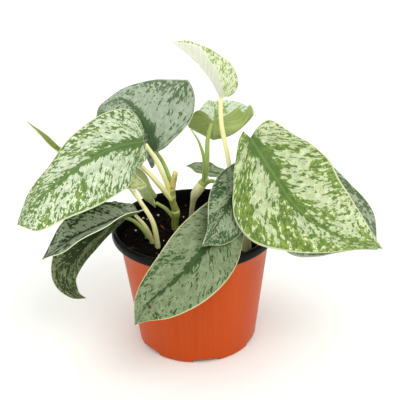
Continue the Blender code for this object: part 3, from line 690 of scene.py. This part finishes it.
def scatter(name, count, sizes, material, seed, stretch=(1, 1, 0.8), detail=1, sink=0.3):
    """Loose bits lying on the peat: rounded lumps, each dented and turned its own way. Sizes are
    the least and greatest radius, and sink is the share of a lump that the peat hides."""
    rng = np.random.default_rng(seed)
    bm = bmesh.new()
    for k in range(count):
        r = LITTER_RADIUS * math.sqrt(rng.random())
        turn = math.tau * rng.random()
        size = sizes[0] + (sizes[1] - sizes[0]) * rng.random() ** 2
        x, y = r * math.cos(turn), r * math.sin(turn)
        verts = bmesh.ops.create_icosphere(bm, subdivisions=detail, radius=size)["verts"]
        for v in verts:
            v.co *= 1 + 0.35 * noise.noise(v.co * (1.3 / size) + Vector((k, 0, 0)))
        bmesh.ops.scale(bm, vec=stretch, verts=verts)
        spin = Matrix.Rotation(rng.random() * math.tau, 3, "Z") @ Matrix.Rotation(
            (rng.random() - 0.5) * 0.9, 3, "X")
        bmesh.ops.rotate(bm, cent=(0, 0, 0), matrix=spin, verts=verts)
        height = SOIL_LEVEL + crumb_height(x, y) + size * stretch[2] * (1 - 2 * sink)
        bmesh.ops.translate(bm, vec=(x, y, height), verts=verts)
    bmesh.ops.recalc_face_normals(bm, faces=bm.faces)
    add_piece(name, bm, [material], ())


# Stems and stalks: routes and radii are the solids', apart from the radii of the left and middle
# stems, which swell more finely at their nodes. A band is a stretch, by share of the length, in
# another finish. A stalk that bears a leaf extends to its blade.
VINE, PALE, GREEN, CREAM, SCAR = range(5)
STEMS = {
    "stem_left": [
        dict(route=[(-13, 11, 62), (-13, 11, 69), (-13, 11, 76), (-12, 9, 87), (-14, 7, 99),
                    (-11, 4, 117)],
             radii=[2.4, 2.4, 2.3, 2.35, 2.4, 3.0, 2.3, 2.2, 2.7, 2.1, 1.9, 1.9, 1.8],
             finish=VINE, rings=STEM_RINGS, extend=0.0,
             bands=((0.455, 0.475, PALE), (0.66, 0.70, SCAR), (0.76, 1.0, SCAR))),
        dict(route=[(-13.5, 7, 97), (-18, 5, 113), (-23, 5, 126), (-28.5, 2.9, 136.9)],
             radii=[1.9, 1.6, 1.5, 1.3], finish=PALE),
        dict(route=[(-14, 6.5, 97), (-21, 4, 108), (-28, 5, 117), (-33.9, 9.2, 121)],
             radii=[2.0, 1.8, 1.6, 1.3], finish=PALE),
        dict(route=[(-13, 8, 96), (-15, 14, 108), (-19, 18.5, 118), (-23, 15.6, 127)],
             radii=[1.8, 1.5, 1.4, 1.2], finish=GREEN),
        dict(route=[(-12.5, 10, 80), (-18, 8, 89), (-23.9, 4.6, 95.4)],
             radii=[1.6, 1.3, 1.1], finish=GREEN)],
    "stem_middle": [
        dict(route=[(-2, 24, 62), (-2, 24, 69), (-2, 23.5, 76), (0, 18, 91), (3, 15, 99), (9, 12, 109)],
             radii=[1.8, 1.8, 1.7, 1.6, 1.6, 1.7, 2.2, 3.2, 3.5, 3.2, 2.0],
             finish=CREAM, rings=STEM_RINGS, extend=0.0,
             bands=((0.0, 0.34, PALE), (0.58, 0.60, SCAR), (0.9, 1.0, GREEN))),
        dict(route=[(7, 13, 104), (9.5, 13, 118), (10.5, 17, 134), (13.1, 21.3, 143.1)],
             radii=[1.9, 1.6, 1.5, 1.3], finish=GREEN),
        dict(route=[(7, 12.5, 104), (8, 8, 122), (5, 4, 137), (0, 0, 148)],
             radii=[1.7, 1.5, 0.9, 0.35], finish=GREEN, extend=0.0),
        dict(route=[(5, 14.5, 102), (12, 15, 105.5), (18.5, 18, 102), (22.8, 25.9, 101.3)],
             radii=[1.7, 1.3, 1.2, 1.0], finish=GREEN)],
    "stem_right": [
        dict(route=[(33, -20, 62), (33, -20, 69), (33, -20, 76), (32, -18, 84), (33, -15, 92)],
             radii=[3.2, 3.2, 3.2, 3.0, 2.2], finish=CREAM, extend=0.0),
        dict(route=[(32, -17, 86), (37, -2, 104), (41.5, 4, 122), (40.5, -4, 136), (37.7, -14.3, 146.2)],
             radii=[2.0, 1.8, 1.7, 1.5, 1.4], finish=GREEN),
        dict(route=[(32, -16, 85), (41, 6, 102), (50, 11, 120), (47.7, 2.9, 137.5)],
             radii=[1.9, 1.7, 1.6, 1.3], finish=GREEN),
        dict(route=[(32, -17, 82), (28, -8, 98), (31, 0, 111), (36.4, -2.8, 120.4)],
             radii=[1.8, 1.6, 1.5, 1.2], finish=GREEN),
        dict(route=[(32, -19, 79), (32, -20, 86), (27.6, -21.5, 95)],
             radii=[1.9, 1.7, 1.4], finish=PALE),
        dict(route=[(31.5, -17, 80), (26, -6, 101), (23, 4, 126), (19.5, 9, 146), (19, 10, 163.1)],
             radii=[1.9, 1.7, 1.6, 1.5, 1.3], finish=PALE, extend=2.2)],
    "stalk_front": [
        dict(route=[(-24, -13, 62), (-24, -13, 69), (-24, -13.5, 76), (-26, -14, 91), (-33, -13, 105),
                    (-38, -10, 111.5)],
             radii=[1.9, 1.8, 1.6, 1.4, 1.2], finish=PALE, extend=2.0)],
    "stalk_left": [
        dict(route=[(-28, -8, 62), (-28, -8, 69), (-28, -8.5, 76), (-31, -12, 87), (-36.6, -15.7, 97.3)],
             radii=[1.6, 1.5, 1.4, 1.2, 1.0], finish=PALE)],
    "stalk_left_back": [
        dict(route=[(-31, -2, 62), (-31, -2, 69), (-32, -2, 77), (-39, -1.5, 86), (-47.7, -4.4, 91.1)],
             radii=[1.5, 1.4, 1.3, 1.2, 1.0], finish=GREEN)]}

# Leaves, the same as the solids': midrib, facing, half widths, lobes and how each half bends
LEAVES = {
    "leaf_front_left": dict(
        spine=[(-30, 2, 140), (-45, -10, 142), (-62, -22, 138.5), (-80, -35, 130), (-95, -44, 119),
               (-104, -47, 109)],
        face=(0, -0.9, 0.6), right=(32, 31, 28, 23, 19), left=(12, 24, 27, 26, 20),
        lobe=(8, 1), roll=-10, twist=40, fold=(-30, -5), curl=(-10, -10), tip=0.75),
    "leaf_back_left": dict(
        spine=[(-24, 14, 128), (-28, 20, 142), (-34, 28, 150), (-41, 38, 155), (-50, 47, 153),
               (-60, 54, 146), (-66, 56, 134)],
        face=(0.3, -0.6, 0.8), right=(9, 35.5, 36, 16.5, 4), left=(16, 28, 31, 20, 9),
        lobe=(1, 11), roll=-69, twist=99, fold=(-5, -15), curl=(-7, -20)),
    "leaf_top_young": dict(
        spine=[(19, 10, 165), (13.5, 4, 178), (4.5, -2, 192), (-9, -8, 206)],
        face=(0.75, -0.3, 0.6), right=(18, 18.5, 15.5, 12, 8), left=(3, 6, 9, 10, 10),
        lobe=(7, 2), roll=-3, twist=32, fold=(40, 50)),
    "leaf_back_cupped": dict(
        spine=[(14, 22, 145), (14, 26, 132), (15, 37, 127.5), (16.5, 51, 134), (16, 63, 143),
               (15.5, 70, 142)],
        face=(0, 0, 1), right=(24, 36, 34, 31, 20), left=(15, 19, 18, 16, 10),
        lobe=(3, 4), fold=(5, 36), curl=(110, 10), ease=0.8),
    "leaf_right_large": dict(
        spine=[(36, -16, 147), (46, -27, 133), (62, -37, 110), (84, -43, 94), (114, -45, 84)],
        face=(0, -0.9, 0.43), right=(6, 26, 35, 21, 7), left=(22.5, 34, 38, 32, 21.5),
        lobe=(8, 5), roll=-13, twist=15, fold=(-4, -8), curl=(-15, -15)),
    "leaf_right_behind": dict(
        spine=[(47, 2, 138), (65.5, -13, 128), (87, -22, 111), (104, -28, 93), (114.5, -30, 75)],
        face=(0, -0.9, 0.5), right=(7, 20, 38, 46, 31), left=(7, 11, 13, 13, 11),
        lobe=(2, 4), roll=-3, twist=-9, fold=(-5, -5), curl=(-10, -10)),
    "leaf_middle": dict(
        spine=[(36, -4, 122), (29, -16, 117), (19, -37, 108), (5, -61, 98)],
        face=(0.1, -1, 0.6), right=(8, 13, 14, 11, 4), left=(6, 10, 15, 18, 12),
        lobe=(5, 2), roll=-2, twist=-2, fold=(0, -22), curl=(-10, -10)),
    "leaf_front_draped": dict(
        spine=[(25, -23, 98), (6, -55, 93), (-7, -67, 84), (-28, -72, 67), (-37, -70, 51)],
        face=(0, -1, 0.5), right=(18, 20, 20, 18, 11), left=(10, 18, 22, 20, 14),
        lobe=(7, 3), twist=11, fold=(-5, 3), curl=(-10, -10)),
    "leaf_left_folded": dict(
        spine=[(-37, -16, 98), (-53, -24, 97), (-73, -32, 92), (-94, -38, 80)],
        face=(0, -0.6, 1), right=(9, 15, 17, 14, 7), left=(12, 21, 25, 22, 13),
        lobe=(4, 5), roll=34, twist=-26, fold=(30, 30)),
    "leaf_left_hanging": dict(
        spine=[(-49, -6, 92), (-64, -14, 82), (-77, -20, 70), (-83, -22, 57), (-80, -20, 44),
               (-73, -14, 36)],
        face=(-0.3, -1, 0.3), right=(10, 15, 16, 13, 7), left=(5, 6, 7, 7, 5),
        lobe=(8, 6), curl=(-10, -10)),
    "leaf_back_small": dict(
        spine=[(22, 27, 104), (8, 27, 108), (-4, 25, 113)],
        face=(0, -0.2, 1), right=(5, 8, 10, 9, 5), left=(4, 5, 5, 5, 4),
        lobe=(3, 3), twist=-4),
    "leaf_left_inner": dict(
        spine=[(-26, 5, 99), (-36, 16, 107), (-51, 28, 112), (-68, 38, 114)],
        face=(0.3, 0.8, 0.5), right=(10, 15, 16, 13, 7), left=(12, 16, 15, 12, 7),
        lobe=(3, 3)),
    "leaf_left_rolled": dict(
        spine=[(-35, 9, 122.5), (-52, 6, 124.5), (-69, 6, 127), (-83, 7, 131.5), (-103, 10, 153)],
        face=(0, -0.3, 1), right=(6, 10, 7, 3.2, 2.8), left=(6, 10, 7, 3.2, 2.8),
        lobe=(3, 3), fold=(36, 36), curl=(30, 30)),
    "leaf_left_curled": dict(
        spine=[(-39.5, -10, 113), (-50.5, -8, 118), (-62.5, -8, 121), (-74.5, -12, 121)],
        face=(0, -0.3, 1), right=(9, 12, 12, 9, 5), left=(8, 9, 9, 7, 4),
        lobe=(9, 5), fold=(35, 40), curl=(30, 20))}

# Colours of each leaf's upper side: silver and its brightest, green and its deepest, the band
# The darker sets (leaf_middle, leaf_front_draped, leaf_left_folded, leaf_left_hanging, leaf_left_inner)
# are
# partly painted shade: the shade on these leaves, which lie under others, is darkened into their colours
UPPER = {
    "leaf_front_left": ("b9c9a8", "e2edca", "8aa54e", "547238", "4c7440"),
    "leaf_back_left": ("9dac92", "b4c2a8", "6f855a", "526c46", "3c5c38"),
    "leaf_top_young": ("e2edc0", "f8fbe0", "b0c078", "98ac60", "94a858"),
    "leaf_back_cupped": ("dcecd2", "f2fae6", "b4cc80", "8cac58", "8cae54"),
    "leaf_right_large": ("aebc90", "d8e4b2", "92a84c", "52702c", "4a6c3a"),
    "leaf_right_behind": ("9aa68a", "b2bca0", "64784e", "4c6040", "3c5236"),
    "leaf_middle": ("8b9a78", "9dab8a", "49643a", "33502a", "2c4626"),
    "leaf_front_draped": ("6e7d58", "8f9f77", "506a3a", "304a1f", "233c16"),
    "leaf_left_folded": ("9aa88e", "b4c0a6", "44582e", "293a1b", "253718"),
    "leaf_left_hanging": ("5e6c44", "7f8c62", "38491a", "1f2e0a", "283810"),
    "leaf_back_small": ("98a886", "b0be9a", "70845a", "546a44", "4c623c"),
    "leaf_left_inner": ("85956c", "97a67c", "465a2c", "324520", "34471e"),
    "leaf_left_rolled": ("b4c078", "c0cb88", "9aaa58", "8a9a48", "8c9c4a"),
    "leaf_left_curled": ("dde2a8", "eaecc0", "bcc878", "a8b664", "b0bc6c")}

# Marks of each leaf's upper side. The seed shifts its patterns.
MARKS = {
    "leaf_front_left": dict(seed=1.0, patch=0.575, fleck=0.57, speck=0.56, margin=0.11),
    "leaf_back_left": dict(seed=2.0, patch=0.56, fleck=0.575, speck=0.56, rim="a9b59a"),
    "leaf_top_young": dict(seed=3.0, patch=0.56, fleck=0.57, speck=0.54, ribs=12, through=0.3),
    "leaf_back_cupped": dict(seed=4.0, patch=0.56, ribs=12, through=0.25),
    "leaf_right_large": dict(seed=64.0, patch=0.605, fleck=0.565, speck=0.605, margin=0.07,
                             uneven=0.05),
    "leaf_right_behind": dict(seed=6.0, rim="b4bea4"),
    "leaf_middle": dict(seed=7.0, fleck=0.57, rim="b4c096", ribs=12),
    "leaf_front_draped": dict(seed=8.0, patch=0.525, band=-0.045, speck=0.57, rim="d2d4a0",
                              spot=(0.86, 0.02)),
    "leaf_left_folded": dict(seed=9.0, patch=0.585, fleck=0.58, rim="a8b48c"),
    "leaf_left_hanging": dict(seed=10.0, patch=0.64, rim="a4b080"),
    "leaf_back_small": dict(seed=11.0, patch=0.56, ribs=9),
    "leaf_left_inner": dict(seed=12.0, patch=0.64, rim="a8b478"),
    "leaf_left_rolled": dict(seed=13.0, patch=0.72, ribs=12),
    "leaf_left_curled": dict(seed=14.0, ribs=12)}

# Colours of each leaf's underside: its ground and its paler veins
# and leaf_left_inner's underside is made paler as painted light, to make up for the shade that it lies
# in
# leaf_top_young's near-white underside is partly painted highlight, where light falls strongly on its
# near half,
UNDER = {
    "leaf_front_left": ("a4b674", "c8d698"), "leaf_back_left": ("7f9068", "a4b08a"),
    "leaf_top_young": ("fbfbea", "fefef6"), "leaf_back_cupped": ("aabd6a", "c0ce8c"),
    "leaf_right_large": ("94a65c", "b8c484"), "leaf_right_behind": ("748558", "98a478"),
    "leaf_middle": ("6c7c50", "8c9868"), "leaf_front_draped": ("7a8a5c", "9caa78"),
    "leaf_left_folded": ("6c7c4c", "98a674"), "leaf_left_hanging": ("64743c", "8c9a58"),
    "leaf_back_small": ("a4b07e", "bcc698"), "leaf_left_inner": ("a8b868", "c8d494"),
    "leaf_left_rolled": ("a4b060", "c4cc88"), "leaf_left_curled": ("ecedb4", "f6f6d4")}


def build():
    """Every piece: the pot, the peat and its loose bits, the stems and stalks, and the leaves."""
    make_pot(formed_plastic("formed_polystyrene_terracotta", "b84206", "c04e10", 0.38, 0.12, 0.14),
             formed_plastic("formed_polystyrene_black", "060605", "0e0d0c", 0.36, 0.10, 0.07))
    # The peat and its crumbs are near black: partly their own damp dark colour and partly painted shade,
    # the deep shade inside the pot and under the leaves darkened into their colours
    make_soil(granular("damp_peat_with_painted_shade", "040302", "160e09", 1.2, 0.95, contrast=0.6, depth=0.6))
    crumbs = granular("peat_crumbs_with_painted_shade", "070503", "20150d", 0.8, 0.95)
    bark = granular("shredded_bark", "3c2314", "7c5230", 0.9, 0.85)
    grit = granular("expanded_perlite", "c9c4b8", "f2efe6", 0.5, 0.9)
    scatter("peat_crumbs_with_painted_shade", 420, (0.5, 1.9), crumbs, seed=11)
    scatter("bark_shreds", 46, (0.7, 2.2), bark, seed=23, stretch=(1.6, 0.5, 0.35), sink=0.1)
    scatter("perlite_grit", 44, (0.45, 1.25), grit, seed=37, stretch=(1, 1, 0.85), detail=2, sink=0.2)

    # In the order VINE, PALE, GREEN, CREAM, SCAR
    # The pale finish's foot colour is partly painted light: it is made lighter to make up for the shade
    # on the stalks' feet
    finishes = [living_stalk("vine", "7c7e30", "9cac50", "b8bc64", freckle="8a6a30"),
                living_stalk("pale", "e4e690", "fcf6ba", "f0ee9e"),
                living_stalk("green", "8aa44c", "a8bf62", "bccc7c"),
                living_stalk("node", "eae690", "fcf8bc", "f6f4d0"),
                living_stalk("scar", "ccb45c", "e0cc7c", "ece0a0", freckle="b49054", roughness=0.7)]
    for name, parts in STEMS.items():
        make_vine(name, parts, finishes)

    margin = leaf_rim("dfe9b8")
    for name, sizes in LEAVES.items():
        own = name.removeprefix("leaf_")
        upper = satin_leaf(own, *UPPER[name], **MARKS[name])
        under = leaf_under(own, *UNDER[name], MARKS[name]["seed"])
        make_leaf(name, sizes, [upper, under, margin])


def set_floor():
    """Plain pale floor, which catches the pot's soft shadow."""
    bm = bmesh.new()
    bmesh.ops.create_grid(bm, x_segments=1, y_segments=1, size=FLOOR_REACH)
    mesh = bpy.data.meshes.new("floor")
    bm.to_mesh(mesh)
    bm.free()
    mesh.materials.append(matt_paper())
    floor = bpy.data.objects.new("floor", mesh)
    bpy.context.collection.objects.link(floor)


def set_lights():
    """White studio: an even bright surround, a soft key from the upper right and a weak fill from
    the left."""
    scene = bpy.context.scene
    scene.view_settings.view_transform = "Standard"
    world = bpy.data.worlds.new("bright_surround")
    scene.world = world
    world.use_nodes = True
    background = world.node_tree.nodes["Background"]
    background.inputs["Color"].default_value = srgb("ffffff")
    background.inputs["Strength"].default_value = SURROUND_STRENGTH
    for name, (energy, width, source) in LIGHTS.items():
        light = bpy.data.lights.new(name, "SUN")
        light.energy = energy
        light.angle = math.radians(width)
        light.color = LIGHT_COLOUR
        lit = bpy.data.objects.new(name, light)
        lit.rotation_euler = (-Vector(source)).to_track_quat("-Z", "Y").to_euler()
        bpy.context.collection.objects.link(lit)


def set_camera():
    """The photograph's view: from the front, looking down on the pot."""
    lens = bpy.data.cameras.new("photo_view")
    lens.sensor_width = SENSOR
    lens.lens = FOCAL_PIXELS / IMAGE_PIXELS * SENSOR
    lens.clip_start = 0.01
    lens.clip_end = 50
    camera = bpy.data.objects.new("photo_view", lens)
    up = math.radians(ELEVATION)
    back = Vector((0, -math.cos(up), math.sin(up)))
    camera.location = (AIM + back * DISTANCE) * MM
    level = (-back).to_track_quat("-Z", "Y").to_matrix()
    camera.rotation_euler = (level @ Matrix.Rotation(math.radians(-TILT), 3, "Z")).to_euler()
    bpy.context.collection.objects.link(camera)
    bpy.context.scene.camera = camera


build()
set_floor()
set_lights()
set_camera()
